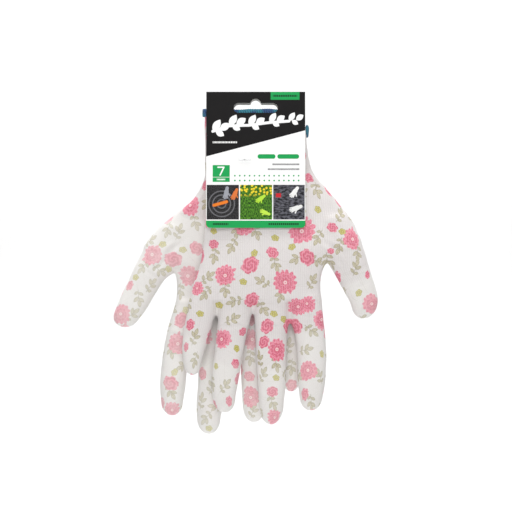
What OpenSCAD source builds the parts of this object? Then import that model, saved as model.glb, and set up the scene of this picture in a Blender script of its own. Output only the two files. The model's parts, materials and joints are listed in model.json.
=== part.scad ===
/* [Header card] */
// Width of the folded card
card_w = 71.4; // [66:0.2:80]
// Height of each panel, from the fold to the lower edge
card_h = 98.4; // [92:0.2:110]
// Thickness of the board
board_t = 0.45; // [0.3:0.05:0.8]
// Half of the depth inside the top spine
spine_half = 7; // [6.6:0.1:9]
// How far each panel leans out at its lower edge
panel_lean = 6.8; // [6:0.1:10]
// Radius of the lower corners
corner_r = 3; // [1:0.5:6]

/* [Hanging slot] */
// Width of the slot
slot_w = 32; // [28:0.5:36]
// Height of the straight part of the slot
slot_h = 7.1; // [6:0.1:8]
// Radius of the arch that the peg sits in
arch_r = 4; // [3:0.1:5]
// Height of the fold above the centre of the arch
fold_up = 9.1; // [8:0.1:12]

/* [Gloves] */
// Thickness of the knitted fabric
wall = 0.9; // [0.7:0.05:1.2]
// Thickness of the rubbery coating
coat = 0.4; // [0.3:0.05:0.6]
// Half of the gap between the two gloves
half_gap = 0.3; // [0.3:0.05:0.6]
// Outside depth of the flattened cuff
cuff_t = 6.4; // [6:0.1:6.8]
// How far the hem stands proud of the cuff
hem_proud = 0.3; // [0.2:0.05:0.5]
// Lean of the rear glove about its hem
rear_lean = 6; // [4:0.5:7]
// How far the rear glove hangs below the front one
rear_drop = 10.4; // [9:0.1:12]

/* [Tag pin] */
// Radius of the nylon filament
filament_r = 0.55; // [0.4:0.01:0.57]
// Radius of the holes that it runs in
pin_hole_r = 0.6; // [0.6:0.01:0.8]
// Sideways place of the pin
pin_x = -8; // [-14:0.5:-4]
// Height of the pin
pin_z = -40; // [-42:0.5:-34]

/* [Hidden] */
$fn = 48;

big = 400;
joint_gap = 0.35;          // between a finger and the root that it swings from
film_gap = 0.03;           // between the knit and the film bonded over it
run_on = 0.05;             // share of its length that an open end runs on by
palm_y = half_gap + coat;  // distance of the knitted palm side from the middle plane
round_steps = 4;           // slices that round a fingertip
palm_points = 40;
stall_points = 25;

// The hem and cuff of each glove: [little-finger side, thumb side]
front_cuff_x = [-37.5, 35.6];
rear_cuff_x = [-37, 33.4];
front_hem_x = [-38.6, 35.7];
rear_hem_x = [-39.4, 33.7];
hem_top = -3.3;
hem_bottom = -8.8;
cuff_bottom = -48;

// Slices of each palm: [height, little-finger side, thumb side, thickness]
front_slices = [
    [-48, -37.5, 35.6, 6.4], [-53, -36.6, 44, 7], [-60, -36, 50, 7.8],
    [-72, -36, 61, 9.2], [-85, -36.8, 70.5, 10.8], [-95, -37.4, 75, 12.4],
    [-102, -38.3, 76.8, 13.6], [-111.5, -39.8, 50.5, 14.4], [-120, -42.5, 47.6, 15],
    [-130, -46, 46.8, 15], [-147, -49.2, 47.8, 15]
];
rear_slices = [
    [-48, -37, 33.4, 6.4], [-54, -36.2, 35, 7.1], [-60, -36, 38, 7.8],
    [-68, -36.2, 45, 8.8], [-77, -36.6, 54, 9.8], [-85, -36.8, 62, 10.8],
    [-95, -37.6, 69, 12.4], [-103.7, -38.6, 72, 13.8], [-115, -41, 46.7, 14.6],
    [-125, -44.4, 44.3, 15], [-147, -49.2, 45.5, 15]
];

// Stalls: [bend x, bend z, lean, length, width at the bend, width at the tip,
//          root x, root z, root width, length of the dipped cap]
front_stalls = [
    ["thumb", [67.6, -115.6, -20.6, 41, 25, 18.5, 60, -101, 26, 40]],
    ["index", [38.2, -163, -2.3, 58, 22.8, 17.8, 36.6, -146, 23, 38]],
    ["middle", [11.2, -164, 0, 67.3, 23.6, 18.4, 11.2, -146, 26, 36]],
    ["ring", [-17.2, -163, 6.1, 59.6, 22.6, 17.6, -15.5, -146, 25, 30]],
    ["little", [-41, -156, 8.7, 39.8, 19.4, 15.6, -38.6, -146, 21, 27]]
];
rear_stalls = [
    ["thumb", [63.1, -118.7, -22, 43.9, 25.4, 18.5, 56, -104, 26, 40]],
    ["index", [36.6, -164, -2.2, 56.4, 22.8, 17.8, 34, -146, 22.6, 38]],
    ["middle", [11.3, -164, 0.3, 67.2, 23.6, 18.4, 10.4, -146, 26, 36]],
    ["ring", [-16.9, -161, 5, 58.2, 22.6, 17.6, -15.6, -146, 25, 30]],
    ["little", [-40.5, -154, 8.3, 41, 19.4, 15.6, -38.6, -146, 21, 27]]
];
stall_t = 14;     // thickness at the bend
stall_tip_t = 12.8;
root_t = 14.6;

function stall_of(list, name) = [for (s = list) if (s[0] == name) s[1]][0];

// Flattened oval with a softly squared outline
function oval(w, t, n, p) = [
    for (i = [0 : n - 1])
        let (c = cos(i * 360 / n), s = sin(i * 360 / n))
            [w / 2 * sign(c) * pow(abs(c), 2 / p), t / 2 * sign(s) * pow(abs(s), 2 / p)]
];

module turn_rear() {
    translate([0, 0, -rear_drop]) rotate([0, rear_lean, 0]) rotate([0, 0, 180]) children();
}

// ---- Header card -------------------------------------------------------

module card_outline() {
    translate([-card_w / 2, fold_up - card_h + corner_r]) square([card_w, card_h - corner_r]);
    translate([-card_w / 2 + corner_r, fold_up - card_h]) square([card_w - 2 * corner_r, card_h]);
    for (side = [-1, 1])
        translate([side * (card_w / 2 - corner_r), fold_up - card_h + corner_r]) circle(corner_r);
}

module slot_outline() {
    r = slot_h / 2;
    low = 0.9 - slot_h;
    translate([-slot_w / 2 + r, low]) square([slot_w - slot_h, slot_h]);
    for (side = [-1, 1]) translate([side * (slot_w / 2 - r), low + r]) circle(r);
    circle(arch_r);
}

module through_y() {
    rotate([90, 0, 0]) translate([0, 0, -big / 2]) linear_extrude(big) children();
}

module pin_hole(r) {
    translate([pin_x, 0, pin_z]) rotate([90, 0, 0]) cylinder(r = r, h = big, center = true);
}

module header_card() {
    bottom = fold_up - card_h;
    half = spine_half + board_t;
    low_half = half + panel_lean;
    section = [
        [-half, fold_up], [-low_half, bottom], [-low_half + board_t, bottom],
        [-spine_half, fold_up - board_t], [spine_half, fold_up - board_t],
        [low_half - board_t, bottom], [low_half, bottom], [half, fold_up]
    ];
    color("#1f1f21") difference() {
        intersection() {
            rotate([90, 0, 90]) translate([0, 0, -card_w / 2])
                linear_extrude(card_w) polygon(section);
            through_y() card_outline();
        }
        through_y() slot_outline();
        pin_hole(pin_hole_r);
    }
}

// ---- Tag pin: a filament with a cross bar in front and a paddle behind ----

function panel_y(z) = spine_half + board_t + panel_lean * (fold_up - z) / card_h;

module tag_pin() {
    bar_len = 9;
    bar_r = 0.6;
    paddle = [5, 1, 3.6];
    outer = panel_y(pin_z) + 0.15;
    color("white") {
        translate([pin_x, 0, pin_z]) rotate([90, 0, 0])
            cylinder(r = filament_r, h = 2 * outer + bar_r, center = true);
        translate([pin_x, -outer - bar_r, pin_z]) rotate([0, 90, 0])
            cylinder(r = bar_r, h = bar_len, center = true);
        translate([pin_x - paddle[0] / 2, outer, pin_z - paddle[2] / 2]) cube(paddle);
    }
}

// ---- Cuff and hem ------------------------------------------------------

module stadium(x, t) {
    r = t / 2;
    translate([x[0] + r, -r]) square([x[1] - x[0] - t, t]);
    for (px = [x[0] + r, x[1] - r]) translate([px, 0]) circle(r);
}

module flat_tube(x, t, bore_x, bore_t, top, bottom) {
    translate([0, -palm_y - cuff_t / 2, bottom]) difference() {
        linear_extrude(top - bottom) stadium(x, t);
        translate([0, 0, -1]) linear_extrude(top - bottom + 2) stadium(bore_x, bore_t);
    }
}

module cuff(x) {
    color("#ecebe9")
        flat_tube(x, cuff_t, [x[0] + wall, x[1] - wall], cuff_t - 2 * wall, hem_bottom, cuff_bottom);
}

module hem(x, cuff_x) {
    color("#2f6f96")
        flat_tube(x, cuff_t + 2 * hem_proud, [cuff_x[0] + wall, cuff_x[1] - wall],
                  cuff_t - 2 * wall, hem_top, hem_bottom);
}

// ---- Palm and finger stalls, as lofts between oval slices --------------------

// A closed solid through rings of points, listed from the top down
module loft(rings) {
    n = len(rings[0]);
    last = len(rings) - 1;
    polyhedron(
        points = [for (r = rings) each r],
        faces = concat(
            [[for (j = [n - 1 : -1 : 0]) j]],
            [for (i = [0 : last - 1], j = [0 : n - 1])
                [i * n + j, i * n + (j + 1) % n, (i + 1) * n + (j + 1) % n]],
            [for (i = [0 : last - 1], j = [0 : n - 1])
                [i * n + j, (i + 1) * n + (j + 1) % n, (i + 1) * n + j]],
            [[for (j = [0 : n - 1]) last * n + j]]
        )
    );
}

// One slice of the palm, moved up by rise and grown outwards
function palm_ring(s, grow, rise) =
    let (y = -palm_y - s[3] / 2, x = (s[1] + s[2]) / 2)
        [for (p = oval(s[2] - s[1] + 2 * grow, s[3] + 2 * grow, palm_points, 2.9))
            [x + p[0], y + p[1], s[0] + rise]];

// A slice of a stall, at a distance down from its bend
function stall_ring(f, down, w, t, grow) =
    [for (p = oval(w + 2 * grow, t + 2 * grow, stall_points, 2.3))
        [f[0] + p[0] * cos(f[2]) - down * sin(f[2]),
         -palm_y - t / 2 + p[1],
         f[1] - p[0] * sin(f[2]) - down * cos(f[2])]];

// The ring that a straight run from ring a to ring b reaches further on, as a share of its length
function beyond(a, b, share) = [for (j = [0 : len(a) - 1]) b[j] + share * (b[j] - a[j])];

function root_ring(f, grow) =
    [for (p = oval(f[8] + 2 * grow, root_t + 2 * grow, stall_points, 2.3))
        [f[6] + p[0], -palm_y - root_t / 2 + p[1], f[7]]];

module palm_body(slices, grow) {
    last = len(slices) - 1;
    loft([for (i = [0 : last])
        palm_ring(slices[i], grow, i == last ? -grow : (i == 0 && grow < 0 ? 1 : 0))]);
}

// The palm with the roots of its stalls; open is true where the roots run on past their ends
module palm_mass(slices, stalls, grow, open) {
    palm_body(slices, grow);
    for (s = stalls) {
        root = root_ring(s[1], grow);
        end = stall_ring(s[1], -joint_gap, s[1][4], stall_t, grow);
        loft([root, open ? beyond(root, end, run_on) : end]);
    }
}

module palm(slices, stalls) {
    color("#f1f0ee") resize([0, 0, 0]) difference() {
        palm_mass(slices, stalls, 0, false);
        palm_mass(slices, stalls, -wall, true);
    }
}

// The dipped film on the palm side, over the heel of the hand and the finger roots
module palm_coating(slices, stalls) {
    film_top = -66;
    dip_line = 5.4;
    color("#f7f5f0") resize([0, 0, 0]) difference() {
        palm_mass(slices, stalls, coat, false);
        palm_mass(slices, stalls, film_gap, true);
        translate([-big / 2, -big - palm_y - dip_line, -big]) cube([big, big, 2 * big]);
        translate([-big / 2, -big / 2, film_top]) cube(big);
    }
}

// A stall's shape: straight sides that taper, then a rounded tip. An open one runs on past its bend
module stall_mass(f, grow, open) {
    tip_len = f[5] * 0.62;
    straight = f[3] - tip_len;
    start = stall_ring(f, 0, f[4], stall_t, grow);
    knuckle = stall_ring(f, straight, f[5], stall_tip_t, grow);
    loft(concat(
        [open ? beyond(knuckle, start, run_on) : start, knuckle],
        [for (i = [1 : round_steps])
            let (a = 90 * i / round_steps, shrink = max(cos(a), 0.2))
                stall_ring(f, straight + tip_len * sin(a) + (i == round_steps ? grow : 0),
                           f[5] * shrink, stall_tip_t * shrink, grow)]
    ));
}

module stall(f) {
    color("#f4f2ef") resize([0, 0, 0]) difference() {
        stall_mass(f, 0, false);
        stall_mass(f, -wall, true);
    }
}

// The film on a stall: its palm side all along, and both sides over the tip
module stall_coating(f) {
    color("#f7f5f0") resize([0, 0, 0]) difference() {
        stall_mass(f, coat, false);
        stall_mass(f, film_gap, true);
        translate([f[0], 0, f[1]]) rotate([0, f[2], 0])
            translate([-big / 2, -big - palm_y - stall_t / 2, f[9] - f[3]]) cube(big);
    }
}

module front(name) {
    if (name == "hem") hem(front_hem_x, front_cuff_x);
    else if (name == "cuff") difference() {
        cuff(front_cuff_x);
        pin_hole(pin_hole_r);
    }
    else if (name == "palm") palm(front_slices, front_stalls);
    else palm_coating(front_slices, front_stalls);
}

module rear(name) {
    if (name == "hem") turn_rear() hem(rear_hem_x, rear_cuff_x);
    else if (name == "cuff") difference() {
        turn_rear() cuff(rear_cuff_x);
        pin_hole(pin_hole_r);
    }
    else if (name == "palm") turn_rear() palm(rear_slices, rear_stalls);
    else turn_rear() palm_coating(rear_slices, rear_stalls);
}

header_card();
tag_pin();

for (part = ["hem", "cuff", "palm", "palm_coating"]) {
    front(part);
    rear(part);
}

for (finger = ["thumb", "index", "middle", "ring", "little"]) {
    stall(stall_of(front_stalls, finger));
    turn_rear() stall(stall_of(rear_stalls, finger));
    stall_coating(stall_of(front_stalls, finger));
    turn_rear() stall_coating(stall_of(rear_stalls, finger));
}
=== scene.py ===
import json
import math
import random
import bmesh
import bpy
import numpy as np
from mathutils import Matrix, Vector, noise


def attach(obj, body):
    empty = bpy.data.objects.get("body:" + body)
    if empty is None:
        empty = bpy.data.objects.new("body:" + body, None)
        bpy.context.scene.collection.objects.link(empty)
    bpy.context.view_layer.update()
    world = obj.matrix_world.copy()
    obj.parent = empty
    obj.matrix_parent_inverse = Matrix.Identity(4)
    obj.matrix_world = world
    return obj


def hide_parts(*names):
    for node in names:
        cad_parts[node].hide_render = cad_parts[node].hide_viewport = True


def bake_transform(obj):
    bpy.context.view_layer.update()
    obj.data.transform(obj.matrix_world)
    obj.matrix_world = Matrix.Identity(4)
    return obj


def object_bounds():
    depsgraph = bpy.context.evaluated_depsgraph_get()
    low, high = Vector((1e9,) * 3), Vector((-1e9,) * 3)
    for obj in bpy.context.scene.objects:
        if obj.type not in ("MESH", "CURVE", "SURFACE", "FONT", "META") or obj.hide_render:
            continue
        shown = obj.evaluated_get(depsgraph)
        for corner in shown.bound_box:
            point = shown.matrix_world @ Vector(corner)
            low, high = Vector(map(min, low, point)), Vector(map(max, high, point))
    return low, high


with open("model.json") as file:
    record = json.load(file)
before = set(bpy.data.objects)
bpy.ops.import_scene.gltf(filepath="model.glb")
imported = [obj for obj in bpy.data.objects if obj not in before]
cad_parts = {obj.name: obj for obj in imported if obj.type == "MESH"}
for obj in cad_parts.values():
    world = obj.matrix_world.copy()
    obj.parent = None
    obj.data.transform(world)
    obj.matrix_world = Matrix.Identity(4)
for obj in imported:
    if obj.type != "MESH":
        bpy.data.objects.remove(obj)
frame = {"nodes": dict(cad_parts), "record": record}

cad_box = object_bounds()
bpy.ops.object.select_all(action="DESELECT")

# ---- Studio ------------------------------------------------------------------
# The pair hangs well above a pale floor that sweeps up into a bright wall behind it.
# A broad soft light stands above the camera, so the plump edges of the fabric fall off to grey.

floor_drop = 0.35                        # how far below the fingertips the floor lies
floor_z = cad_box[0][2] - floor_drop
rows = [(-6, 0)] + [(0.8 + 0.5 * math.sin(a), 0.5 - 0.5 * math.cos(a))
                      for a in np.linspace(0, math.pi / 2, 13)] + [(1.3, 3.5)]
mesh = bpy.data.meshes.new("studio_sweep")
mesh.from_pydata([(side, y, floor_z + z) for y, z in rows for side in (-6, 6)], [],
                 [(2 * i, 2 * i + 1, 2 * i + 3, 2 * i + 2) for i in range(len(rows) - 1)])
for face in mesh.polygons:
    face.use_smooth = True
sweep = bpy.data.objects.new("studio_sweep", mesh)
bpy.context.collection.objects.link(sweep)

world = bpy.data.worlds.new("studio")
bpy.context.scene.world = world
world.use_nodes = True
world.node_tree.nodes["Background"].inputs[0].default_value = (1, 1, 1, 1)
world.node_tree.nodes["Background"].inputs[1].default_value = 0.36


def softbox(name, place, target, size, power):
    bpy.ops.object.light_add(type="AREA", location=place)
    light = bpy.context.object
    light.name = name
    light.data.shape = "DISK"
    light.data.size = size
    light.data.energy = power
    light.rotation_euler = (Vector(target) - Vector(place)).to_track_quat("-Z", "Y").to_euler()


softbox("key", (-0.15, -1.45, 0.8), (0, 0, -0.12), 0.7, 9.3)
softbox("fill", (0.2, -1.5, -0.5), (0, 0, -0.17), 0.6, 4.4)
softbox("wall", (0, 0.1, 1.7), (0, 1.3, 0.1), 1.6, 48)

bpy.ops.object.camera_add(location=(0.0002, -1.24, -0.1095), rotation=(math.pi / 2, 0, 0))
camera = bpy.context.object
camera.data.lens = 120
camera.data.sensor_width = 36
bpy.context.scene.camera = camera
bpy.context.scene.view_settings.view_transform = "Standard"


# ---- Header card ---------------------------------------------------------------
# A folded piece of coated board, printed on the outside: a black top cut off on a slant,
# green details and three small pictures. It keeps its die-cut shape from the frame.

class Ink:
    """One value of a material. Arithmetic on it adds the nodes that work it out."""

    def __init__(self, tree, socket=None):
        self.tree, self.socket = tree, socket

    def node(self, kind, inputs=(), out=0, **settings):
        made = self.tree.nodes.new("ShaderNode" + kind)
        for key, value in settings.items():
            setattr(made, key, value)
        pairs = inputs.items() if isinstance(inputs, dict) else enumerate(inputs)
        for slot, value in pairs:
            if isinstance(value, Ink):
                self.tree.links.new(value.socket, made.inputs[slot])
            elif value is not None:
                made.inputs[slot].default_value = value
        return Ink(self.tree, made.outputs[out])

    def math(self, operation, *values):
        return self.node("Math", values, operation=operation)

    def __add__(self, other): return self.math("ADD", self, other)
    def __radd__(self, other): return self.math("ADD", other, self)
    def __sub__(self, other): return self.math("SUBTRACT", self, other)
    def __rsub__(self, other): return self.math("SUBTRACT", other, self)
    def __mul__(self, other): return self.math("MULTIPLY", self, other)
    def __rmul__(self, other): return self.math("MULTIPLY", other, self)
    def __truediv__(self, other): return self.math("DIVIDE", self, other)
    def __pow__(self, other): return self.math("POWER", self, other)

    def abs(self): return self.math("ABSOLUTE", self)
    def fract(self): return self.math("FRACT", self)
    def sin(self): return self.math("SINE", self)
    def cos(self): return self.math("COSINE", self)
    def least(self, other): return self.math("MINIMUM", self, other)
    def most(self, other): return self.math("MAXIMUM", self, other)

    def ramp(self, start, end, low=0.0, high=1.0):
        """Rises smoothly from low to high as the value goes from start to end."""
        return self.node("MapRange", (self, start, end, low, high), interpolation_type="SMOOTHSTEP")

    def over(self, under, colour):
        """This value as a mask that lays colour over another colour."""
        return self.node("Mix", {0: self, 6: under, 7: colour}, 2, data_type="RGBA")

    def flat(self, x, y, z=0.0):
        """One vector made of three values."""
        return self.node("CombineXYZ", (x, y, z))

    def parts(self):
        """The three values in this vector."""
        split = self.node("SeparateXYZ", (self,)).socket.node
        return [Ink(self.tree, socket) for socket in split.outputs]


def rgb(r, g, b):
    """A printed colour, given as it looks, as the linear colour that a shader wants."""
    linear = [c / 255 / 12.92 if c <= 10 else ((c / 255 + 0.055) / 1.055) ** 2.4 for c in (r, g, b)]
    return (*linear, 1.0)


def new_material(name):
    material = bpy.data.materials.new(name)
    material.use_nodes = True
    return material, Ink(material.node_tree), material.node_tree.nodes["Principled BSDF"].inputs


def set_finish(start, shader, **finish):
    """Links values that vary over the surface to the shader's inputs."""
    for key, value in finish.items():
        start.tree.links.new(value.socket, shader[key.replace("_", " ")])


def in_millimetres(start):
    """The place on the piece, in the shared frame, in mm."""
    return start.node("VectorMath", {0: start.node("TexCoord", out=3), 3: 1000.0}, operation="SCALE")


def box_mask(x, z, x0, x1, z0, z1, soft=0.06):
    """1 inside a printed rectangle."""
    across = (x - (x0 + x1) / 2).abs() - (x1 - x0) / 2
    along = (z - (z0 + z1) / 2).abs() - (z1 - z0) / 2
    return across.most(along).ramp(soft, -soft)


def stroke_mask(x, z, a, b, width, soft=0.08):
    """1 inside a round-ended stroke from point a to point b."""
    dx, dz = b[0] - a[0], b[1] - a[1]
    long = dx * dx + dz * dz
    along = (((x - a[0]) * dx + (z - a[1]) * dz) / long).most(0.0).least(1.0)
    gap_x, gap_z = x - a[0] - along * dx, z - a[1] - along * dz
    return ((gap_x * gap_x + gap_z * gap_z) ** 0.5).ramp(width / 2 + soft, width / 2 - soft)


def leaf_mask(x, z, at, angle, long, wide, soft=0.1):
    """1 inside a pointed leaf that grows from a point in a direction."""
    c, s = math.cos(angle), math.sin(angle)
    along = ((x - at[0]) * c + (z - at[1]) * s) / long
    across = ((z - at[1]) * c - (x - at[0]) * s).abs()
    edge = along * (1.0 - along) * 4.0 * (wide / 2)
    return (edge - across).ramp(-soft * 0.3, soft) * along.ramp(-0.01, 0.01) * along.ramp(1.01, 0.99)


def glove_mask(x, z, at, angle, size):
    """1 inside a small picture of an empty glove, fingers along the angle."""
    c, s = math.cos(angle), math.sin(angle)

    def on(u, v):
        return (at[0] + (u * c - v * s) * size, at[1] + (u * s + v * c) * size)

    mask = stroke_mask(x, z, on(0, 0), on(2.4, 0), 3.4 * size)
    for v, u in ((-1.3, 5.0), (-0.45, 5.8), (0.4, 5.6), (1.2, 4.9)):
        mask = mask.most(stroke_mask(x, z, on(2.4, v * 0.9), on(u, v * 1.25), 0.85 * size))
    mask = mask.most(stroke_mask(x, z, on(1.0, 1.2), on(2.8, 3.0), 0.95 * size))
    return mask.most(stroke_mask(x, z, on(-2.6, 0), on(0, 0), 2.5 * size))


fold_z = 9.1                             # height of the folded top edge
panel_tall, panel_lean = 98.4, 6.8       # each panel's height, and how far its foot leans out
fold_half = 7.45                         # half of the depth over the fold


def print_card():
    material, start, shader = new_material("printed_board")
    spot = in_millimetres(start)
    x, y, z = spot.parts()
    face_y = (fold_z - z) * (panel_lean / panel_tall) + fold_half
    depth = face_y - y.abs()                 # how far inside the outer printed face
    front = y.ramp(0.5, -0.5)
    black, white, green = rgb(17, 15, 16), rgb(249, 249, 248), rgb(28, 162, 84)
    fleck = start.node("TexNoise", {0: spot, 2: 1.4, 3: 3.0})

    # Top: black above the slant, with a white sprig as its generic mark
    art = (z + 28.35 - x * 0.2647).ramp(-0.06, 0.06).over(white, black)
    stem = [(-31, -19.6), (-19, -15.6), (-5, -15.2), (10, -13.2), (24, -12.2)]
    sprig = stroke_mask(x, z, stem[0], stem[1], 2.0)
    for a, b in zip(stem[1:], stem[2:]):
        sprig = sprig.most(stroke_mask(x, z, a, b, 2.0))
    for k, (long, wide) in enumerate(((11, 5.4), (10.4, 5.2), (9.8, 5.0), (9.0, 4.6), (8.2, 4.2))):
        at = stem[k]
        sprig = sprig.most(leaf_mask(x, z, at, 1.0, long * 0.92, wide))
        sprig = sprig.most(leaf_mask(x, z, (at[0] + 5, at[1] + 0.8), 0.6, long * 0.8, wide))
        sprig = sprig.most(leaf_mask(x, z, (at[0] + 2, at[1] + 0.5), -0.55, long * 0.66, wide * 0.85))
    art = sprig.over(art, white)
    dash = (x * 0.9 + (x * 0.23).sin() * 0.6).fract().ramp(0.25, 0.35)
    art = (box_mask(x, z, -31, -13.5, -28.2, -26.9) * dash).over(art, white)
    tab = box_mask(x, z, 10.8, 31.6, 3.3, 9.4)
    art = tab.over(art, green)
    bars = box_mask(x, z, 12.4, 30, 5.4, 6.9) * (x * 0.62).fract().ramp(0.22, 0.3)
    art = bars.over(art, rgb(20, 60, 40))

    # Middle: rounded bars for the words, the size number, and two rows of dots
    for a, b in ((3.0, 12.6), (17.2, 29.6)):
        art = stroke_mask(x, z, (a, -37.8), (b, -37.8), 3.3).over(art, green)
    small = (x * 1.35 + (x * 0.31).sin()).fract().ramp(0.2, 0.35)
    lines = box_mask(x, z, 12, 31.5, -44.1, -42.9).most(box_mask(x, z, 8.5, 31.5, -47.6, -46.4))
    art = (lines * small).over(art, rgb(96, 96, 98))
    art = box_mask(x, z, -31, -18.7, -56.2, -44).over(art, green)
    seven = stroke_mask(x, z, (-27.2, -45.6), (-22.9, -45.6), 1.0)
    seven = seven.most(stroke_mask(x, z, (-22.9, -45.6), (-25.6, -51.2), 1.0))
    art = seven.over(art, white)
    art = box_mask(x, z, -31, -18.7, -52.9, -52.6).over(art, white)
    art = (box_mask(x, z, -28, -22, -55.0, -53.9) * small).over(art, white)
    column = ((x + 16.77) / 3.53).fract() * 3.53 - 1.765
    row = (z + 53.45).abs() - 1.75
    dots = (column * column + row * row) ** 0.5
    art = (dots.ramp(0.68, 0.52) * box_mask(x, z, -16.7, 32.7, -57, -50)).over(art, green)

    # Pictures: a tyre with work gloves, a flower bed, a grey machine with white gloves
    dim = fleck.ramp(0.35, 0.7)
    tyre_far = ((x + 24.5) * (x + 24.5) + (z + 72) * (z + 72)) ** 0.5
    picture = dim.over(rgb(24, 24, 26), rgb(64, 62, 64))
    for ring_r in (9.2, 6.4, 3.1):
        picture = (tyre_far - ring_r).abs().ramp(0.7, 0.1, 0, 0.75).over(picture, rgb(120, 120, 124))
    picture = stroke_mask(x, z, (-30, -73), (-21, -70.5), 2.2, 0.3).over(picture, rgb(236, 126, 40))
    picture = glove_mask(x, z, (-21, -63), -1.75, 0.95).over(picture, rgb(158, 160, 168))
    picture = glove_mask(x, z, (-14.6, -64), -2.0, 0.9).over(picture, rgb(222, 120, 60))
    blades = start.node("TexNoise", {0: start.flat(x * 1.6, z * 0.5), 2: 1.3, 3: 5.0})
    garden = blades.ramp(0.36, 0.66).over(rgb(18, 46, 16), rgb(96, 158, 44))
    heads = start.node("TexVoronoi", {0: start.flat(x, z), 2: 0.42}, 0, voronoi_dimensions="2D")
    garden = (heads.ramp(0.38, 0.3) * (z + 66).ramp(-1.5, 2.0)).over(garden, rgb(240, 214, 50))
    garden = glove_mask(x, z, (4.4, -67.6), -2.5, 0.85).over(garden, rgb(184, 226, 66))
    garden = glove_mask(x, z, (7.6, -78.6), 2.75, 0.8).over(garden, rgb(196, 232, 80))
    bench = start.node("TexNoise", {0: start.flat(x * 0.5, z * 0.9), 2: 0.8, 3: 2.0})
    bench = bench.ramp(0.35, 0.65).over(rgb(30, 30, 34), rgb(98, 98, 106))
    bench = box_mask(x, z, 14.5, 18.2, -67.3, -64.4, 0.2).over(bench, rgb(200, 40, 48))
    bench = glove_mask(x, z, (28.5, -62.6), -2.2, 0.95).over(bench, rgb(240, 240, 238))
    bench = glove_mask(x, z, (30, -74.8), 3.5, 1.0).over(bench, rgb(232, 232, 230))
    for view, a, b in ((picture, -35.2, -12.1), (garden, -11.3, 11.8), (bench, 12.6, 35.2)):
        art = box_mask(x, z, a, b, -83.3, -58.3).over(art, view)
    art = z.ramp(-84.0, -84.15).over(art, green)
    foot = box_mask(x, z, -31, -19.6, -87.3, -85.8).most(box_mask(x, z, 9.2, 31, -87.3, -85.8))
    art = (foot * (x * 0.68).fract().ramp(0.2, 0.3)).over(art, rgb(16, 70, 40))

    # Back: the same slanted top, ruled lines and a green foot
    back = (z + 28.35 + x * 0.2647).ramp(-0.06, 0.06).over(white, black)
    ruled = (z / 3.4).fract().ramp(0.36, 0.3) * box_mask(x, z, -30, 30, -76, -44) * small
    back = ruled.over(back, rgb(120, 120, 122))
    back = z.ramp(-84.0, -84.15).over(back, green)
    art = (z - 9.02).ramp(0.0, 0.05).over(front.over(back, art), black)

    # Bare board on the cut edges and inside, and a little wear along the folds
    bare = depth.ramp(0.04, 0.1) * (z - 9.0).ramp(0.06, 0.0)
    grain = start.node("TexNoise", {0: spot, 2: 6.0, 3: 4.0})
    board = grain.ramp(0.3, 0.7).over(rgb(226, 224, 219), rgb(241, 240, 237))
    scuff = (fleck - 0.62).ramp(0.0, 0.1) * (z - 8.0).ramp(0.0, 1.0) * 0.5
    art = scuff.over(art, rgb(196, 194, 190))
    colour = bare.over(art, board)
    relief = start.node("Bump", {"Strength": 0.12, "Distance": 0.0001, "Height": grain})
    set_finish(start, shader, Base_Color=colour, Roughness=bare * 0.3 + 0.5 + (fleck - 0.5) * 0.1,
               Normal=relief)
    shader["Specular IOR Level"].default_value = 0.15
    return material


def dress(node, material):
    mesh = frame["nodes"][node].data
    mesh.materials.clear()
    mesh.materials.append(material)


dress("header_card", print_card())


# ---- Tag pin ---------------------------------------------------------------------
# A clear nylon pin: a thin filament through the card and both cuffs, with a cross bar in
# front and a small paddle behind. It keeps its moulded shape from the frame.

material, start, shader = new_material("clear_nylon")
spot = in_millimetres(start)
haze = start.node("TexNoise", {0: spot, 2: 2.2, 3: 2.0})
flow = start.node("Bump", {"Strength": 0.2, "Distance": 0.0001, "Height": haze})
set_finish(start, shader, Base_Color=haze.ramp(0.3, 0.7).over(rgb(240, 242, 243), rgb(252, 252, 252)),
           Roughness=haze * 0.2 + 0.2, Normal=flow)
shader["Alpha"].default_value = 0.4
shader["Coat Weight"].default_value = 0.3
dress("tag_pin", material)


# ---- Glove fabric: shape ---------------------------------------------------------
# Each glove is a seamless knitted liner of soft white yarn, flat at the cuff and plump at the
# palm and fingers. Cross-sections are given by their two edge points, as (x, z, x, z) in mm.

front_rows = [(2, -37.6, 36.1), (-20, -37.5, 36.8), (-34, -37.3, 38.3), (-43, -37.1, 39.9),
              (-50, -36.8, 42.6), (-55, -36.5, 46.2), (-60, -36.3, 50.8), (-68, -36.3, 57.8),
              (-76, -36.4, 64.1), (-85, -36.8, 70.5), (-93, -37.3, 73.9), (-101, -38, 76.7),
              (-107, -39, 66), (-113, -40, 53), (-120, -42, 48.6), (-130, -45.6, 47), (-142, -47.8, 47.4)]
rear_rows = [(-6, -36.2, 38.6), (-24, -36.9, 37.2), (-38, -37.1, 35.2), (-48, -37.3, 33.9),
             (-54, -38.4, 33.2), (-62, -42, 32.2), (-70, -48.6, 31.3), (-76, -55.2, 30.6),
             (-84, -65.2, 29.6), (-91, -73.2, 28.6), (-98, -78.7, 27.8), (-105, -82.2, 27.4),
             (-113, -72, 27.8), (-119.5, -60, 28.2), (-127, -57.4, 29), (-138, -57.8, 31.4),
             (-150, -60.2, 33.8)]
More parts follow.
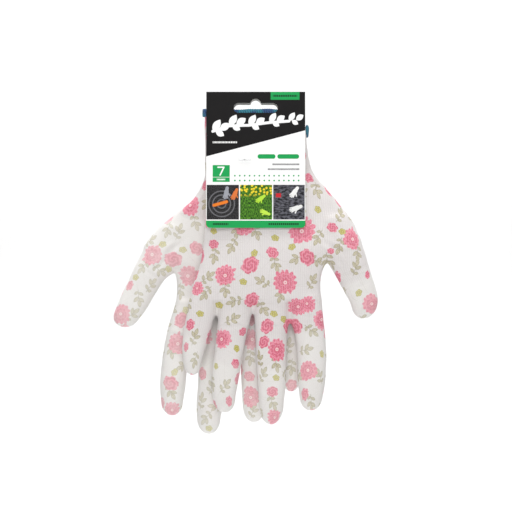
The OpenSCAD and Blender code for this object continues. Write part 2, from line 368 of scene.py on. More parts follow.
front_ladders = {
    "thumb": [(40, -84, 66, -79), (46, -101, 73, -92), (50.6, -111.5, 77.3, -102.3),
              (56.5, -122, 81.7, -116), (62.3, -132.6, 85.4, -127.6), (68.6, -144.6, 88.4, -139.4),
              (79.9, -154.8)],
    "index": [(24, -138, 47.6, -138), (25.2, -155, 48.9, -155), (28.2, -168, 50.6, -168),
              (29.8, -182, 51.1, -182), (30.6, -200, 50.4, -200), (31.7, -211, 48.5, -210.6),
              (39.7, -221.4)],
    "middle": [(-1, -138, 24, -138), (-1.1, -155, 23.7, -155), (-0.5, -170, 22.8, -170),
               (0.3, -186, 22.1, -186), (1.2, -203, 21.5, -203), (2.5, -217, 20.3, -217),
               (11.2, -231.4)],
    "ring": [(-27, -136, -1.5, -136), (-27.2, -152, -3.4, -154), (-28.8, -166, -6.6, -168.4),
             (-30.4, -181, -9.3, -183), (-31.9, -196, -11.8, -198), (-31.9, -209, -14.3, -210.6),
             (-22.8, -222.6)],
    "little": [(-46.8, -134, -25.5, -134), (-49.6, -148.4, -27.9, -147), (-51.7, -162, -32, -162),
               (-53, -174, -35.6, -174.6), (-52.6, -184.6, -39, -186), (-46, -195.8)]}
rear_ladders = {
    "thumb": [(-68, -86.5, -44, -90), (-78, -97.5, -52, -108), (-84, -109, -58.6, -120.4),
              (-87.4, -115, -66, -126.6), (-93.6, -128.4, -74, -138.6), (-99.8, -142, -81.2, -150.2),
              (-103, -149.6, -85.6, -155.8), (-98.8, -161)],
    "index": [(-58.4, -142, -38, -142), (-62.2, -155.5, -43, -156.5), (-64.9, -165, -46.8, -167),
              (-67.5, -178, -49.2, -180), (-69.3, -193, -50.4, -194), (-69.9, -206, -51.3, -207),
              (-69, -214.6, -53, -215.6), (-61.3, -226)],
    "middle": [(-42, -145, -15, -147), (-43.6, -160, -17, -163.4), (-42.8, -174, -20, -177),
               (-42.1, -188, -21.8, -190), (-42.4, -203, -23, -205), (-43.3, -218, -24.4, -220),
               (-43, -227.6, -26, -229.4), (-35, -239.5)],
    "ring": [(-16, -148, 10, -147), (-15, -162, 11, -160), (-13.2, -176, 10.2, -176),
             (-11.2, -190, 9.2, -190), (-10.5, -205, 8.3, -205), (-9.8, -217, 7.4, -217),
             (-1, -231.1)],
    "little": [(10, -143, 33, -143), (12.4, -158.4, 34.2, -156.6), (15, -171, 34, -170),
               (17.3, -184, 33.8, -183), (18.8, -196.4, 33, -195.6), (26.2, -209.2)]}


def through(stations, steps):
    """More stations on a smooth curve through the given ones."""
    s = np.array(stations, float)
    s = np.vstack([2 * s[0] - s[1], s, 2 * s[-1] - s[-2]])
    out = []
    for i in range(1, len(s) - 2):
        for t in np.arange(steps) / steps:
            out.append(0.5 * (2 * s[i] + (s[i + 1] - s[i - 1]) * t
                              + (2 * s[i - 1] - 5 * s[i] + 4 * s[i + 1] - s[i + 2]) * t ** 2
                              + (3 * s[i] - s[i - 1] - 3 * s[i + 1] + s[i + 2]) * t ** 3))
    return out + [s[-2]]


fabric_wall = 0.0009                     # thickness of the knit
voxel = 0.00115                          # how finely the tubes are merged into one skin
half_gap = 0.7                           # from the middle plane to the glove's inner face, in mm


def section(a, b, depth, y, power, count=44):
    """A flattened oval from edge point a to edge point b."""
    mid, half = (a + b) / 2, (b - a) / 2
    turn = np.linspace(0, 2 * math.pi, count, endpoint=False)
    c = np.sign(np.cos(turn)) * np.abs(np.cos(turn)) ** (2 / power)
    s = np.sign(np.sin(turn)) * np.abs(np.sin(turn)) ** (2 / power)
    return np.column_stack([mid[0] + half[0] * c, y + depth / 2 * s, mid[1] + half[1] * c]) / 1000


def add_loft(form, sections):
    rings = [[form.verts.new(p) for p in ring] for ring in sections]
    for one, two in zip(rings, rings[1:]):
        for k in range(len(one)):
            form.faces.new((one[k - 1], one[k], two[k], two[k - 1]))
    form.faces.new(rings[0])
    form.faces.new(reversed(rings[-1]))


def depth_at(z, drop):
    """Outside depth of the cuff and palm at a height."""
    return float(np.interp(-z - drop, [48, 60, 72, 85, 95, 103, 112, 122],
                           [6.4, 7.8, 9.2, 10.8, 12.4, 13.6, 14.4, 15]))


def shape_glove(side, rows, ladders, drop):
    """The whole outer skin of one glove, merged and relaxed into one smooth surface."""
    form = bmesh.new()
    y_sign = -1 if side == "front" else 1
    palm = []
    for z, xl, xr in through(rows, 3):
        d = depth_at(z, drop)
        palm.append(section(np.array([xl, z]), np.array([xr, z]), d, y_sign * (half_gap + d / 2), 2.9, 72))
    add_loft(form, palm)
    for name, ladder in ladders.items():
        full = 14.2 if name != "little" else 13.2
        steps = through(ladder[:-1], 4)
        sections = []
        for k, s in enumerate(steps):
            d = full - 1.3 * k / (len(steps) - 1)
            d = min(d, depth_at((s[1] + s[3]) / 2, drop) + 0.2)
            sections.append(section(s[:2], s[2:], d, y_sign * (half_gap + d / 2), 2.3))
        a, b = steps[-1][:2], steps[-1][2:]
        mid, tip = (a + b) / 2, np.array(ladder[-1])
        for angle in np.radians([14, 28, 42, 55, 67, 78, 86]):
            shift, shrink = (tip - mid) * math.sin(angle), math.cos(angle) ** 0.92
            sections.append(section(mid + shift - (b - a) / 2 * shrink, mid + shift + (b - a) / 2 * shrink,
                                    d * shrink, y_sign * (half_gap + d / 2), 2.3))
        add_loft(form, sections)
    bmesh.ops.recalc_face_normals(form, faces=form.faces)
    mesh = bpy.data.meshes.new(side + "_liner")
    form.to_mesh(mesh)
    form.free()
    liner = bpy.data.objects.new(side + "_liner", mesh)
    bpy.context.collection.objects.link(liner)
    bpy.context.view_layer.objects.active = liner
    remesh = liner.modifiers.new("merge", "REMESH")
    remesh.mode, remesh.voxel_size = "VOXEL", voxel
    bpy.ops.object.modifier_apply(modifier="merge")
    form = bmesh.new()
    form.from_mesh(liner.data)
    for _ in range(7):
        bmesh.ops.smooth_vert(form, verts=form.verts, factor=0.5, use_axis_x=True,
                              use_axis_y=True, use_axis_z=True)
    form.normal_update()
    return liner, form


def ease(t):
    t = np.clip(t, 0, 1)
    return t * t * (3 - 2 * t)


def crumple(form, side, creases):
    """Presses the creases into the fabric and gives it a slight unevenness."""
    y_sign = -1 if side == "front" else 1
    seed = 3.0 if side == "front" else 11.0
    for v in form.verts:
        x, y, z = (c * 1000 for c in v.co)
        push = 0.42 * noise.noise(Vector((x / 17, y / 17 + seed, z / 21)))
        push += 0.16 * noise.noise(Vector((x / 6, y / 6 + seed, z / 8)))
        for cx, cz, angle, long, wide, deep in creases:
            c, s = math.cos(angle), math.sin(angle)
            along, across = (x - cx) * c + (z - cz) * s, (z - cz) * c - (x - cx) * s
            across -= 0.012 * along * along
            if abs(along) < long and abs(across) < 3 * wide:
                fade = math.cos(along / long * math.pi / 2) ** 2
                push -= deep * fade * (math.exp(-(across / wide) ** 2)
                                       - 0.45 * math.exp(-((abs(across) - 1.7 * wide) / wide) ** 2))
        v.co += v.normal * push / 1000
        if y_sign * v.co.y < 0.00036:
            v.co.y = y_sign * 0.00036
    form.normal_update()


front_creases = [(56, -104, -0.5, 15, 1.8, 0.6), (60, -112, -1.2, 11, 1.5, 0.5),
                 (49, -122, 1.3, 12, 1.8, 0.4), (42, -58, -0.9, 16, 2.2, 0.5),
                 (30, -70, -1.3, 24, 2.4, 0.4), (-34, -66, -1.45, 18, 2.0, 0.5),
                 (-26, -136, 1.4, 8, 1.5, 0.35), (-2, -142, 1.55, 8, 1.6, 0.35),
                 (24, -144, 1.6, 8, 1.6, 0.35), (38, -153, 0.0, 11, 1.0, 0.4),
                 (11, -160, -0.05, 12, 1.3, 0.5), (-16, -160, 0.1, 11, 1.3, 0.5),
                 (72, -121, 0.5, 11, 1.2, 0.5), (76, -131, 0.35, 9, 1.2, 0.35)]
rear_creases = [(-66, -112, 0.9, 17, 1.8, 0.9), (-60, -104, 0.6, 15, 1.8, 0.7),
                (-55, -124, 1.8, 13, 1.6, 0.8), (-46, -68, 0.75, 16, 2.0, 0.8),
                (-74, -124, -0.5, 10, 1.2, 0.5), (-56, -167, -0.1, 10, 1.2, 0.5),
                (-42, -146, 1.6, 9, 1.5, 0.4), (-34, -172, -0.1, 10, 1.2, 0.4),
                (-79, -134, -0.55, 9, 1.1, 0.35), (-58, -178, -0.1, 9, 1.1, 0.3)]


def cut(form, point, direction, reach=None):
    """Cuts an edge loop across the fabric on a plane, near the point if a reach is given."""
    faces = [f for f in form.faces
             if reach is None or (f.calc_center_median() - point).length < reach]
    geom = set(faces)
    for f in faces:
        geom.update(f.edges)
        geom.update(f.verts)
    bmesh.ops.bisect_plane(form, geom=list(geom), dist=1e-7, plane_co=point, plane_no=direction)


def beyond(first, point, direction):
    """The faces joined to the first one without crossing the plane."""
    found, todo = {first}, [first]
    while todo:
        for edge in todo.pop().edges:
            if all(abs((v.co - point).dot(direction)) < 2e-7 for v in edge.verts):
                continue
            for face in edge.link_faces:
                if face not in found:
                    found.add(face)
                    todo.append(face)
    return found


def take(faces, name):
    """Makes some faces of the skin into a piece of their own, with the fabric's thickness."""
    piece = bmesh.new()
    made = {}
    for face in faces:
        for v in face.verts:
            if v not in made:
                made[v] = piece.verts.new(v.co)
        piece.faces.new([made[v] for v in face.verts])
    bmesh.ops.triangulate(piece, faces=[f for f in piece.faces if len(f.verts) > 4])
    mesh = bpy.data.meshes.new(name)
    piece.to_mesh(mesh)
    piece.free()
    thing = bpy.data.objects.new(name, mesh)
    bpy.context.collection.objects.link(thing)
    bpy.ops.object.select_all(action="DESELECT")
    thing.select_set(True)
    bpy.context.view_layer.objects.active = thing
    solid = thing.modifiers.new("wall", "SOLIDIFY")
    solid.thickness, solid.offset = fabric_wall, -1
    bpy.ops.object.modifier_apply(modifier="wall")
    bpy.ops.object.shade_smooth_by_angle(angle=math.radians(55))
    return thing


# ---- Glove fabric: knit, print and dipped film -------------------------------------
# Fine rib knit, printed all over with pink flowers, grey-green leaves and small yellow
# flowers, then dipped in a thin milky film on the palm side and over the fingertips.

front_print = {
    "bloom": [(33, -91, 8.6), (-9, -87.5, 6.8), (-22, -123, 6.8), (21, -128, 7.6), (30, -146, 5.8),
              (37, -144, 5.2), (-25, -169, 6.6), (16, -177, 7.2), (37, -192, 6.3), (14, -226, 5.6),
              (70, -97, 6.8), (84, -144, 6.2), (-43, -133, 4.6), (-48, -73, 6), (58, -62, 4)],
    "rose": [(-4, -116, 6.2), (-3, -141, 5.2), (37, -110.5, 5.8), (27, -160, 6), (8, -160, 5.2),
             (-48, -159, 4), (-8, -164, 3.4), (34, -209, 4.2), (12, -207, 4.2), (-18, -214, 3.6),
             (-13, -187, 3.8), (82, -123, 2.8), (39.5, -53, 3.2), (37, -37, 3), (-52, -175, 3.2),
             (12, -107, 4.2), (-31, -101, 3.6), (55, -89, 3.8), (54, -106, 2.4)],
    "dot": [(-31, -91.5), (14, -96.5), (-1, -107.5), (26, -103), (-9, -128), (-40, -151), (13, -151),
            (20.5, -155), (-13, -176), (15, -197), (49, -180), (45, -76), (62.5, -92), (74, -136)],
    "sprig": [(-17, -102, 4.2), (0, -92, 5.0), (-35, -125, 0.6), (5, -128, 2.6), (41, -128, 1.0),
              (-36, -136, 4.0), (5, -147, 5.3), (-15, -142, 3.4), (-17, -155, 0.4), (40, -163, 5.6),
              (35, -177, 0.2), (-44, -168, 1.2), (-43, -184, 4.4), (-22, -203, 0.8), (47, -196, 2.0),
              (4, -195, 1.0), (74, -107, 4.6), (72, -118, 1.2), (62, -80, 0.9), (45, -62, 5.0),
              (45, -96, 4.2), (-22, -133, 4.7), (18, -137, 4.4), (14, -115, 5.0), (-30, -109, 4.5),
              (15, -187, 4.9), (44, -113, 5.9), (30, -111, 3.6), (-50, -144, 4.7), (12, -215, 5.2),
              (40, -215, 4.8), (52, -113, 4.9), (60, -102, 4.4), (-14, -91, 4.6)]}
rear_print = {
    "bloom": [(-75.5, -109, 6.8), (-98, -152, 6.2), (-48, -73, 6.2), (-49, -124, 7.0), (-57, -173, 6.8),
              (-61, -222, 6), (-3, -170, 6.6), (-4, -212, 6.4), (-66, -82, 4)],
    "rose": [(-60, -112, 6), (-43, -104, 5), (-54, -156, 5.4), (-62, -202, 5.6), (-40, -195, 4.4),
             (-3, -156, 4), (-5, -197, 4), (26, -204, 5), (-93, -131, 3.6), (-37, -58, 3.6)],
    "dot": [(-53, -105), (-88, -125), (-63, -119), (-51, -149), (-59, -194), (-34, -235), (-24, -170)],
    "sprig": [(-64, -90, 4.4), (-44, -85, 5.0), (-82, -117, 4.0), (-85, -140, 4.8), (-56, -135, 4.7),
              (-62, -178, 4.9), (-62, -208, 5.2), (-40, -215, 1.4), (-70, -120, 5.6), (-76, -131, 0.9),
              (-52, -189, 3.6), (-66, -160, 1.2), (-36, -227, 4.0), (-4, -183, 4.6), (-2, -222, 1.2),
              (-56, -92, 1.2), (26, -190, 4.6), (24, -175, 1.4), (-90, -152, 0.6)]}


def fill_gaps(prints, left, right, bottom, top, seed):
    """Strews more motifs over the cloth wherever none is near, as the print runs all over it."""
    dice = random.Random(seed)
    taken = [spot[:2] for spots in prints.values() for spot in spots]
    order = ("sprig", "bloom", "sprig", "rose", "dot", "sprig", "rose")
    made = 0
    for _ in range(1600):
        x, z = dice.uniform(left, right), dice.uniform(bottom, top)
        if min(math.hypot(x - a, z - b) for a, b in taken) > 11:
            kind = order[made % len(order)]
            size = {"bloom": (6.6,), "rose": (4.6,), "dot": (), "sprig": (dice.uniform(0, 6.2),)}[kind]
            prints[kind].append((round(x, 1), round(z, 1), *size))
            taken.append((x, z))
            made += 1


fill_gaps(front_print, -58, 92, -232, -8, 5)
fill_gaps(rear_print, -104, 42, -242, -14, 9)


def lay_motifs(mesh, px, pz, prints):
    """Stores where each face lies on the nearest motif of each kind: its turned place and size."""
    corners = np.empty(len(mesh.loops), np.int32)
    starts, totals = np.empty(len(mesh.polygons), np.int32), np.empty(len(mesh.polygons), np.int32)
    mesh.loops.foreach_get("vertex_index", corners)
    mesh.polygons.foreach_get("loop_start", starts)
    mesh.polygons.foreach_get("loop_total", totals)
    x, z = px[corners], pz[corners]
    middle_x, middle_z = np.add.reduceat(x, starts) / totals, np.add.reduceat(z, starts) / totals
    for kind, spots in prints.items():
        cx, cz = np.array([spot[:2] for spot in spots]).T
        size = np.array([{"dot": 3.0, "sprig": 6.3}.get(kind) or spot[2] * 1.08 for spot in spots])
        angle = np.array([spot[2] if kind == "sprig" else abs(spot[0] * 1.7 + spot[1] * 2.3) % 6.2
                          for spot in spots])
        near = ((middle_x[:, None] - cx) ** 2 + (middle_z[:, None] - cz) ** 2).argmin(axis=1)
        near = np.repeat(near, totals)
        c, s = np.cos(angle[near]) / size[near], np.sin(angle[near]) / size[near]
        dx, dz = x - cx[near], z - cz[near]
        field = mesh.attributes.new(kind + "_place", "FLOAT_VECTOR", "CORNER")
        field.data.foreach_set("vector", np.column_stack(
            [dx * c + dz * s, dz * c - dx * s, size[near]]).astype(np.float32).ravel())


def petals(u, v, count, reach, point, turn=0.0):
    """Signed measure of a rosette: above 0 inside its petals, with the place across a petal."""
    far = (u * u + v * v) ** 0.5
    around = v.math("ARCTAN2", v, u) * (count / (2 * math.pi)) + turn
    across = ((around + 100.0).fract() - 0.5).abs() * 2.0
    return reach * (1.0 - across * across * point) - far, across, far


def print_flowers(start, p, colour):
    """Lays the printed motifs over the base colour of the fabric."""
    def motif(kind):
        return start.node("Attribute", out=1, attribute_name=kind + "_place").parts()

    dark, mid, pale = rgb(198, 50, 90), rgb(219, 88, 120), rgb(240, 154, 173)
    leaf, leaf_line = rgb(208, 199, 168), rgb(148, 138, 104)
    mottle = start.node("TexNoise", {0: p, 2: 0.9, 3: 3.0})

    # Leaves: three to five on a stem, outlined, each with its rib
    u, v, _ = motif("sprig")
    body, rib = None, None
    for angle, out, long, wide in ((0.05, 0.2, 0.9, 0.5), (0.8, -0.02, 0.82, 0.44),
                                   (-0.85, -0.14, 0.84, 0.46), (1.0, -0.62, 0.66, 0.4),
                                   (-1.1, -0.72, 0.56, 0.38)):
        c, s = math.cos(angle), math.sin(angle)
        along = ((u - out) * c + v * s) / long
        across = (v * c - (u - out) * s).abs()
        edge = (along * (1.0 - along)).most(0.0) ** 0.8 * (wide * 1.4) - across
        line = across.ramp(0.045, 0.015) * edge.ramp(0.0, 0.03)
        body = edge if body is None else body.most(edge)
        rib = line if rib is None else rib.most(line)
    stem = v.abs().ramp(0.05, 0.02) * u.ramp(-1.0, -0.95) * u.ramp(0.3, 0.25)
    fill = body.ramp(-0.01, 0.03) * (0.8 + mottle.ramp(0.4, 0.6) * 0.2)
    colour = fill.over(colour, mottle.ramp(0.35, 0.65).over(leaf, rgb(190, 182, 146)))
    outline = body.ramp(-0.02, 0.02) * body.ramp(0.12, 0.04) * 0.8
    colour = outline.most(rib * 0.7).most(stem * 0.8).over(colour, leaf_line)

    # Small yellow flowers with an olive edge and ring
    u, v, _ = motif("dot")
    inside, across, far = petals(u, v * 1.25, 5, 1.0, 0.22)
    colour = inside.ramp(-0.03, 0.05).over(colour, mottle.ramp(0.35, 0.65).over(
        rgb(187, 177, 72), rgb(207, 197, 106)))
    ring = (inside.ramp(-0.03, 0.05) * inside.ramp(0.26, 0.12)).most((far - 0.34).abs().ramp(0.16, 0.06))
    colour = (ring * 0.8).over(colour, rgb(156, 148, 52))

    # Roses: a swirl of darker and paler petals
    u, v, _ = motif("rose")
    inside, across, far = petals(u, v * 1.22, 6, 1.06, 0.16)
    inside = inside + (mottle - 0.5) * 0.5
    swirl = (far * 13.0 + v.math("ARCTAN2", v, u) * 2.0 + across * 1.4).sin()
    tint = (swirl.ramp(0.1, 0.9) * 0.75).over(mid, dark)
    tint = (swirl.ramp(-0.5, -0.95) * 0.6).over(tint, pale)
    tint = (across.ramp(0.74, 0.95) * far.ramp(0.5, 0.8) * 0.7).over(tint, pale)
    colour = (inside.ramp(-0.03, 0.04) * 0.95).over(colour, tint)

    # Full blooms: three ragged rings of petals round a pale heart
    u, v, size = motif("bloom")
    ragged = (mottle - 0.5) * 0.3
    uneven = start.node("TexNoise", {0: start.flat(u, v, size), 2: 1.7, 3: 2.0}) - 0.5
    outer, gap, far = petals(u, v * 1.06, 13, 1.1, 0.18)
    outer = outer + ragged + uneven * 0.7
    streak = start.node("TexNoise", {0: start.flat(gap * 1.5, far * 2.4, size), 2: 3.0, 3: 2.0})
    tint = (streak - 0.45).ramp(0.0, 0.2).over(mid, pale)
    tint = (gap.ramp(0.7, 0.95) * far.ramp(0.45, 0.9) * 0.6).over(tint, pale)
    middle, _, _ = petals(u, v, 9, 0.74, 0.24, 0.4)
    middle = middle + ragged + uneven * 0.4
    tint = (middle.ramp(-0.02, 0.03) * 0.75).over(tint, mottle.ramp(0.4, 0.6).over(mid, dark))
    tint = (middle.abs().ramp(0.07, 0.02) * 0.5).over(tint, pale)
    inner, _, _ = petals(u, v, 7, 0.44, 0.26, 0.1)
    tint = ((inner + ragged).abs().ramp(0.06, 0.02) * 0.6).over(tint, pale)
    heart = ((u - 0.06) * (u - 0.06) + (v - 0.04) * (v - 0.04)) ** 0.5
    tint = ((heart - 0.11).abs().ramp(0.08, 0.03) * 0.85).over(tint, rgb(246, 218, 216))
    colour = (outer.ramp(-0.03, 0.03) * 0.96).over(colour, tint)
    return colour


def knit_fabric():
    material, start, shader = new_material("printed_knit")
    drawn = start.node("Attribute", out=1, attribute_name="print_place")
    px, pz, film = drawn.parts()
    wales = start.node("Attribute", out=1, attribute_name="knit_place")
    u, v, calm = wales.parts()
    p = start.flat(px, pz)

    # Ribs of V-shaped stitches, flatter towards the fingertips and under the film
    across = ((u / 1.6).fract() - 0.5).abs() * 2.0
    stitch = ((v / 1.0 + across * 0.5) * (2 * math.pi)).cos()
    relief = (1.0 - across * across) * (stitch * 0.3 + 0.7)
    yarn = start.node("TexNoise", {0: start.flat(u * 2.2, v * 0.9), 2: 1.6, 3: 3.0})
    show = 1.0 - film * 0.72

    white = yarn.ramp(0.3, 0.7).over(rgb(218, 214, 211), rgb(231, 228, 225))
    groove = (1.0 - relief) * show * (1.0 - calm * 0.6)
    # Painted shade: the white cloth is darkened to grey in the grooves between the ribs.
    white = (groove * 0.5).over(white, rgb(200, 190, 192))
    colour = print_flowers(start, p, white)
    thin = start.node("TexNoise", {0: start.flat(u * 1.1, v * 1.1), 2: 1.1, 3: 4.0})
    colour = (groove * 0.26 + (thin - 0.55).ramp(0.0, 0.2) * 0.1).over(colour, rgb(224, 218, 218))

    # The film: thin and milky, so that the print shows through it a little paler
    cloud = start.node("TexNoise", {0: drawn, 2: 0.16, 3: 3.0})
    milk = film * cloud.ramp(0.2, 0.8, 0.3, 0.5)
    colour = milk.over(colour, rgb(234, 233, 228))
    pebble = start.node("TexNoise", {0: drawn, 2: 2.6, 3: 2.0})
    height = relief * show + yarn * 0.25 + pebble * film * 0.25
    bump = start.node("Bump", {"Strength": 0.55, "Distance": 0.00022, "Height": height})
    rough = 0.86 - film * 0.34 + (yarn - 0.5) * 0.12
    set_finish(start, shader, Base_Color=colour, Roughness=rough, Normal=bump)
    shader["Sheen Weight"].default_value = 0.12
    shader["Sheen Roughness"].default_value = 0.5
    return material


def place_print(piece, side, prints, seam=None, direction=None, dip_height=None):
    """Writes where each point lies on the printed and the knitted pattern, and the film."""
    mesh = piece.data
    count = len(mesh.vertices)
    co, no = np.empty(count * 3), np.empty(count * 3)
    mesh.vertices.foreach_get("co", co)
    mesh.vertices.foreach_get("normal", no)
    co, no = co.reshape(-1, 3) * 1000, no.reshape(-1, 3)
    y_sign = -1 if side == "front" else 1
    x, y, z = co.T
    near_y = -15.7 if side == "front" else 0.7         # the glove's nearest face
    root_z = -147 if side == "front" else -156         # the crotches between the fingers
    crotch = np.exp(-((z - root_z) / 15) ** 2)
    wrap = np.clip(y - near_y, 0, 15) * 0.75 * np.clip(no[:, 0] * 1.2, -1, 1) * (1 - 0.95 * crotch)
    if seam is None:
        u, v, calm = x.copy(), z.copy(), np.zeros(count)
    else:
        sx, sz = seam[0] * 1000, seam[2] * 1000
        dx, dz = direction[0], direction[2]
        along = (x - sx) * dx + (z - sz) * dz
        over = -(x - sx) * dz + (z - sz) * dx
        turn = ease(along / 16)
        u = (x - sx) * (1 - turn) + over * turn + sx
        v = z * (1 - turn) + (sz - along) * turn
        calm = ease((along - 2) / 22)
    u = u + wrap
    palm_side = np.clip((-y_sign * no[:, 1] - 0.05) / 0.3, 0, 1)
    if seam is None:
        line = -66 if side == "front" else -80
        wave = 1.6 * np.sin(x / 5) + 1.1 * np.sin(x / 2.3 + 1)
        film = palm_side * ease((line + wave - z) / 3)
    else:
        wave = 0.9 * np.sin(x / 2.6) + 0.6 * np.sin(x / 1.3 + 1)
        film = np.maximum(palm_side, ease((along + wave - dip_height) / 5) * 0.62)
    for label, columns in (("print_place", (x + wrap, z, film)), ("knit_place", (u, v, calm))):
        field = mesh.attributes.new(label, "FLOAT_VECTOR", "POINT")
        field.data.foreach_set("vector", np.column_stack(columns).astype(np.float32).ravel())
    lay_motifs(mesh, x + wrap, z, prints)


joints = {j["child"]: j for j in frame["record"]["behaviour"]["joints"]}
caps = {"thumb": 30, "index": 60, "middle": 44, "ring": 38, "little": 30}   # dipped tips, in mm
lean, hang_low = math.radians(6), 10.4   # how the rear glove hangs from its hem, in mm below
wrist_down, edge_down = 0.048, 0.0088    # lower and upper edge of the cuff, below the slot
seam_up, seam_reach = 0.003, 0.022       # a finger's seam above its hinge, and how far it is cut
bend_from, bend_to = 0.0008, 0.0135      # two distances past the seam along the finger, in metres
knit = knit_fabric()
for side, rows, ladders, creases, prints, drop in (
        ("front", front_rows, front_ladders, front_creases, front_print, 0),
        ("rear", rear_rows, rear_ladders, rear_creases, rear_print, 4)):
    liner, form = shape_glove(side, rows, ladders, drop)
    crumple(form, side, creases)
    tilt = 0 if side == "front" else lean
    up = Vector((math.sin(tilt), 0, math.cos(tilt)))
    top = Vector((0, 0, 0 if side == "front" else -hang_low / 1000))
    wrist = top - up * wrist_down
    edge = top - up * edge_down
    cut(form, wrist, up)
    cut(form, edge, up)
    sets, seams = {}, {}
    for name, ladder in ladders.items():
        joint = joints[side + "_" + name + "_stall"]
        pivot, axis = Vector(joint["pos_m"]), Vector(joint["axis"])
        direction = Vector((0, 1 if side == "rear" else -1, 0)).cross(axis) * -1
        if direction.z > 0:
            direction = -direction
        seam = Vector((pivot.x, 0, pivot.z)) - direction * seam_up
        cut(form, seam, direction, seam_reach)
        seams[name] = (seam, direction, pivot)
    form.faces.ensure_lookup_table()
    taken = set()
    for name, (seam, direction, pivot) in seams.items():
        tip = Vector((ladders[name][-1][0] / 1000, 0, ladders[name][-1][1] / 1000))
        first = min(form.faces, key=lambda f: (f.calc_center_median() - tip).length)
        sets[name] = beyond(first, seam, direction)
        taken |= sets[name]
    rest = [f for f in form.faces if f not in taken]
    below = [f for f in rest if (f.calc_center_median() - wrist).dot(up) < 0]
    cuff = [f for f in rest if 0 < (f.calc_center_median() - wrist).dot(up)
            and (f.calc_center_median() - edge).dot(up) < 0]
    body = side + "_glove"
    palm_piece = take(below, side + "_palm_fabric")
    place_print(palm_piece, side, prints)
    palm_piece.data.materials.append(knit)
    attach(palm_piece, body)
    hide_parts(side + "_palm", side + "_palm_coating")
    cuff_piece = take(cuff, side + "_cuff_fabric")
    place_print(cuff_piece, side, prints)
    cuff_piece.data.materials.append(knit)
    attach(cuff_piece, body)
    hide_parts(side + "_cuff")
    for name, (seam, direction, pivot) in seams.items():
        stall = take(sets[name], side + "_" + name + "_fabric")
        reach = (Vector((ladders[name][-1][0] / 1000, 0, ladders[name][-1][1] / 1000)) - seam).length * 1000
        place_print(stall, side, prints, seam, direction, reach - caps[name])
        stall.data.materials.append(knit)
        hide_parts(side + "_" + name, side + "_" + name + "_coating")
        middle = Vector((0, pivot.y, 0))
        side + "_" + name + "_stall"
        tuple(seam + middle + direction * bend_from)
        tuple(seam + middle + direction * bend_to)
        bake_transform(stall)
    form.free()
    bpy.data.objects.remove(liner)


# ---- Hems ---------------------------------------------------------------------------
# The cuff's edge is overlocked with blue yarn: a firm band, knitted on to the top of the cuff,
# with the thread wound over it in slanting turns. It stands slightly proud of the cuff.

hem_ends = {"front": (-38.6, 35.7), "rear": (-39.4, 33.7)}
hem_middle, hem_half = -6.05, 2.75       # height of the band's middle, and half its height
cuff_y = -3.9                            # middle of the flat cuff
band_out, band_in = 3.5, 2.3             # the band's round ends, outside and inside
thread_pitch = 1.7
end_curl = {"front": 0.5, "rear": 3.6}   # how far the loose end of the edge curls up


def hung(side, x, y, z):
    """From the glove's own flat frame, in mm, to where it hangs, in metres."""
    if side == "front":
        return Vector((x, y, z)) / 1000
    x, y = -x, -y
    return Vector((x * math.cos(lean) + z * math.sin(lean), y,
                   z * math.cos(lean) - x * math.sin(lean) - hang_low)) / 1000


def overlock():
    """Blue yarn, with painted shade where it dips between the turns."""
    material, start, shader = new_material("overlock_yarn")
    s, h, ridge = start.node("Attribute", out=1, attribute_name="thread_place").parts()
    patch = start.node("TexNoise", {0: start.flat(s * 0.11, h * 0.1), 2: 1.0, 3: 2.0})
    fibre = start.node("TexNoise", {0: start.flat(s * 2.6, h * 0.7), 2: 1.6, 3: 4.0})
    colour = patch.ramp(0.42, 0.6).over(rgb(34, 70, 118), rgb(38, 122, 140))
    colour = (fibre.ramp(0.5, 0.75) * 0.6).over(colour, rgb(116, 164, 196))
    # Painted shade: the yarn is darkened to dark navy in the dips between the turns.
    colour = ((1.0 - ridge).ramp(0.25, 0.7) * 0.85).over(colour, rgb(14, 26, 52))
    bump = start.node("Bump", {"Strength": 0.5, "Distance": 0.00015, "Height": fibre})
    set_finish(start, shader, Base_Color=colour, Roughness=fibre * 0.2 + 0.66, Normal=bump)
    shader["Sheen Weight"].default_value = 0.15
    return material


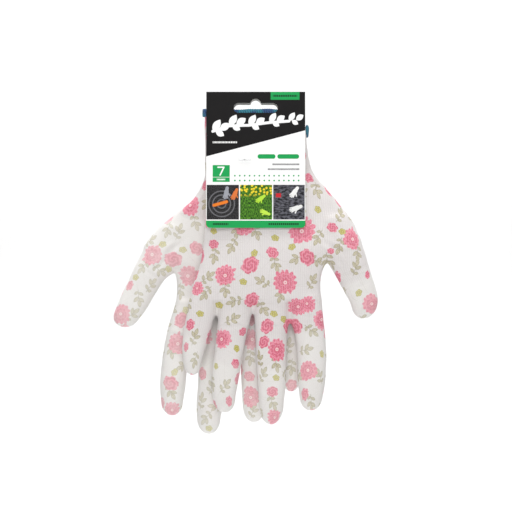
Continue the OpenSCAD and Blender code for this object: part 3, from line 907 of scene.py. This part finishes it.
thread = overlock()
for side, (x0, x1) in hem_ends.items():
    radius = (band_out + band_in) / 2
    straight, arc = x1 - x0 - 2 * band_out, math.pi * radius
    around = 2 * (straight + arc)
    turns = round(around / thread_pitch)
    columns = turns * 6
    profile = np.linspace(0, 2 * math.pi, 22, endpoint=False)
    points, places = [], []
    for k in range(columns):
        s = around * k / columns
        if s < straight:
            cx, cy, nx, ny = x0 + band_out + s, cuff_y - radius, 0, -1
        elif s < straight + arc:
            a = (s - straight) / radius - math.pi / 2
            nx, ny = math.cos(a), math.sin(a)
            cx, cy = x1 - band_out + radius * nx, cuff_y + radius * ny
        elif s < 2 * straight + arc:
            cx, cy, nx, ny = x1 - band_out - (s - straight - arc), cuff_y + radius, 0, 1
        else:
            a = (s - 2 * straight - arc) / radius + math.pi / 2
            nx, ny = math.cos(a), math.sin(a)
            cx, cy = x0 + band_out + radius * nx, cuff_y + radius * ny
        wave = 0.22 * math.sin(s / 5.1) + 0.16 * math.sin(s / 2.3 + 1)
        wave += end_curl[side] * math.exp(-((cx + nx * radius - x0) / 3.2) ** 2)
        for p in profile:
            rise = math.copysign(abs(math.sin(p)) ** 0.75, math.sin(p))
            out = math.copysign(abs(math.cos(p)) ** 0.6, math.cos(p))
            ridge = abs(math.cos(math.pi * (turns * s / around + 0.45 * rise * math.copysign(1, out))))
            ridge = ridge ** 0.5
            swell = (0.3 + 0.45 * ridge) * out
            h = hem_middle + rise * (hem_half - 0.35 + 0.4 * ridge) + (wave if rise > 0 else 0) * rise
            points.append(hung(side, cx + nx * swell, cy + ny * swell, h))
            places.append((s, h, ridge))
    n = len(profile)
    quads = [(i * n + j, i * n + (j + 1) % n, (i + 1) % columns * n + (j + 1) % n, (i + 1) % columns * n + j)
             for i in range(columns) for j in range(n)]
    mesh = bpy.data.meshes.new(side + "_overlocked_hem")
    mesh.from_pydata(points, [], quads)
    field = mesh.attributes.new("thread_place", "FLOAT_VECTOR", "POINT")
    field.data.foreach_set("vector", np.array(places, np.float32).ravel())
    form = bmesh.new()
    form.from_mesh(mesh)
    bmesh.ops.recalc_face_normals(form, faces=form.faces)
    form.to_mesh(mesh)
    form.free()
    for face in mesh.polygons:
        face.use_smooth = True
    hem = bpy.data.objects.new(side + "_overlocked_hem", mesh)
    bpy.context.collection.objects.link(hem)
    mesh.materials.append(thread)
    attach(hem, side + "_glove")
    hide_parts(side + "_hem")
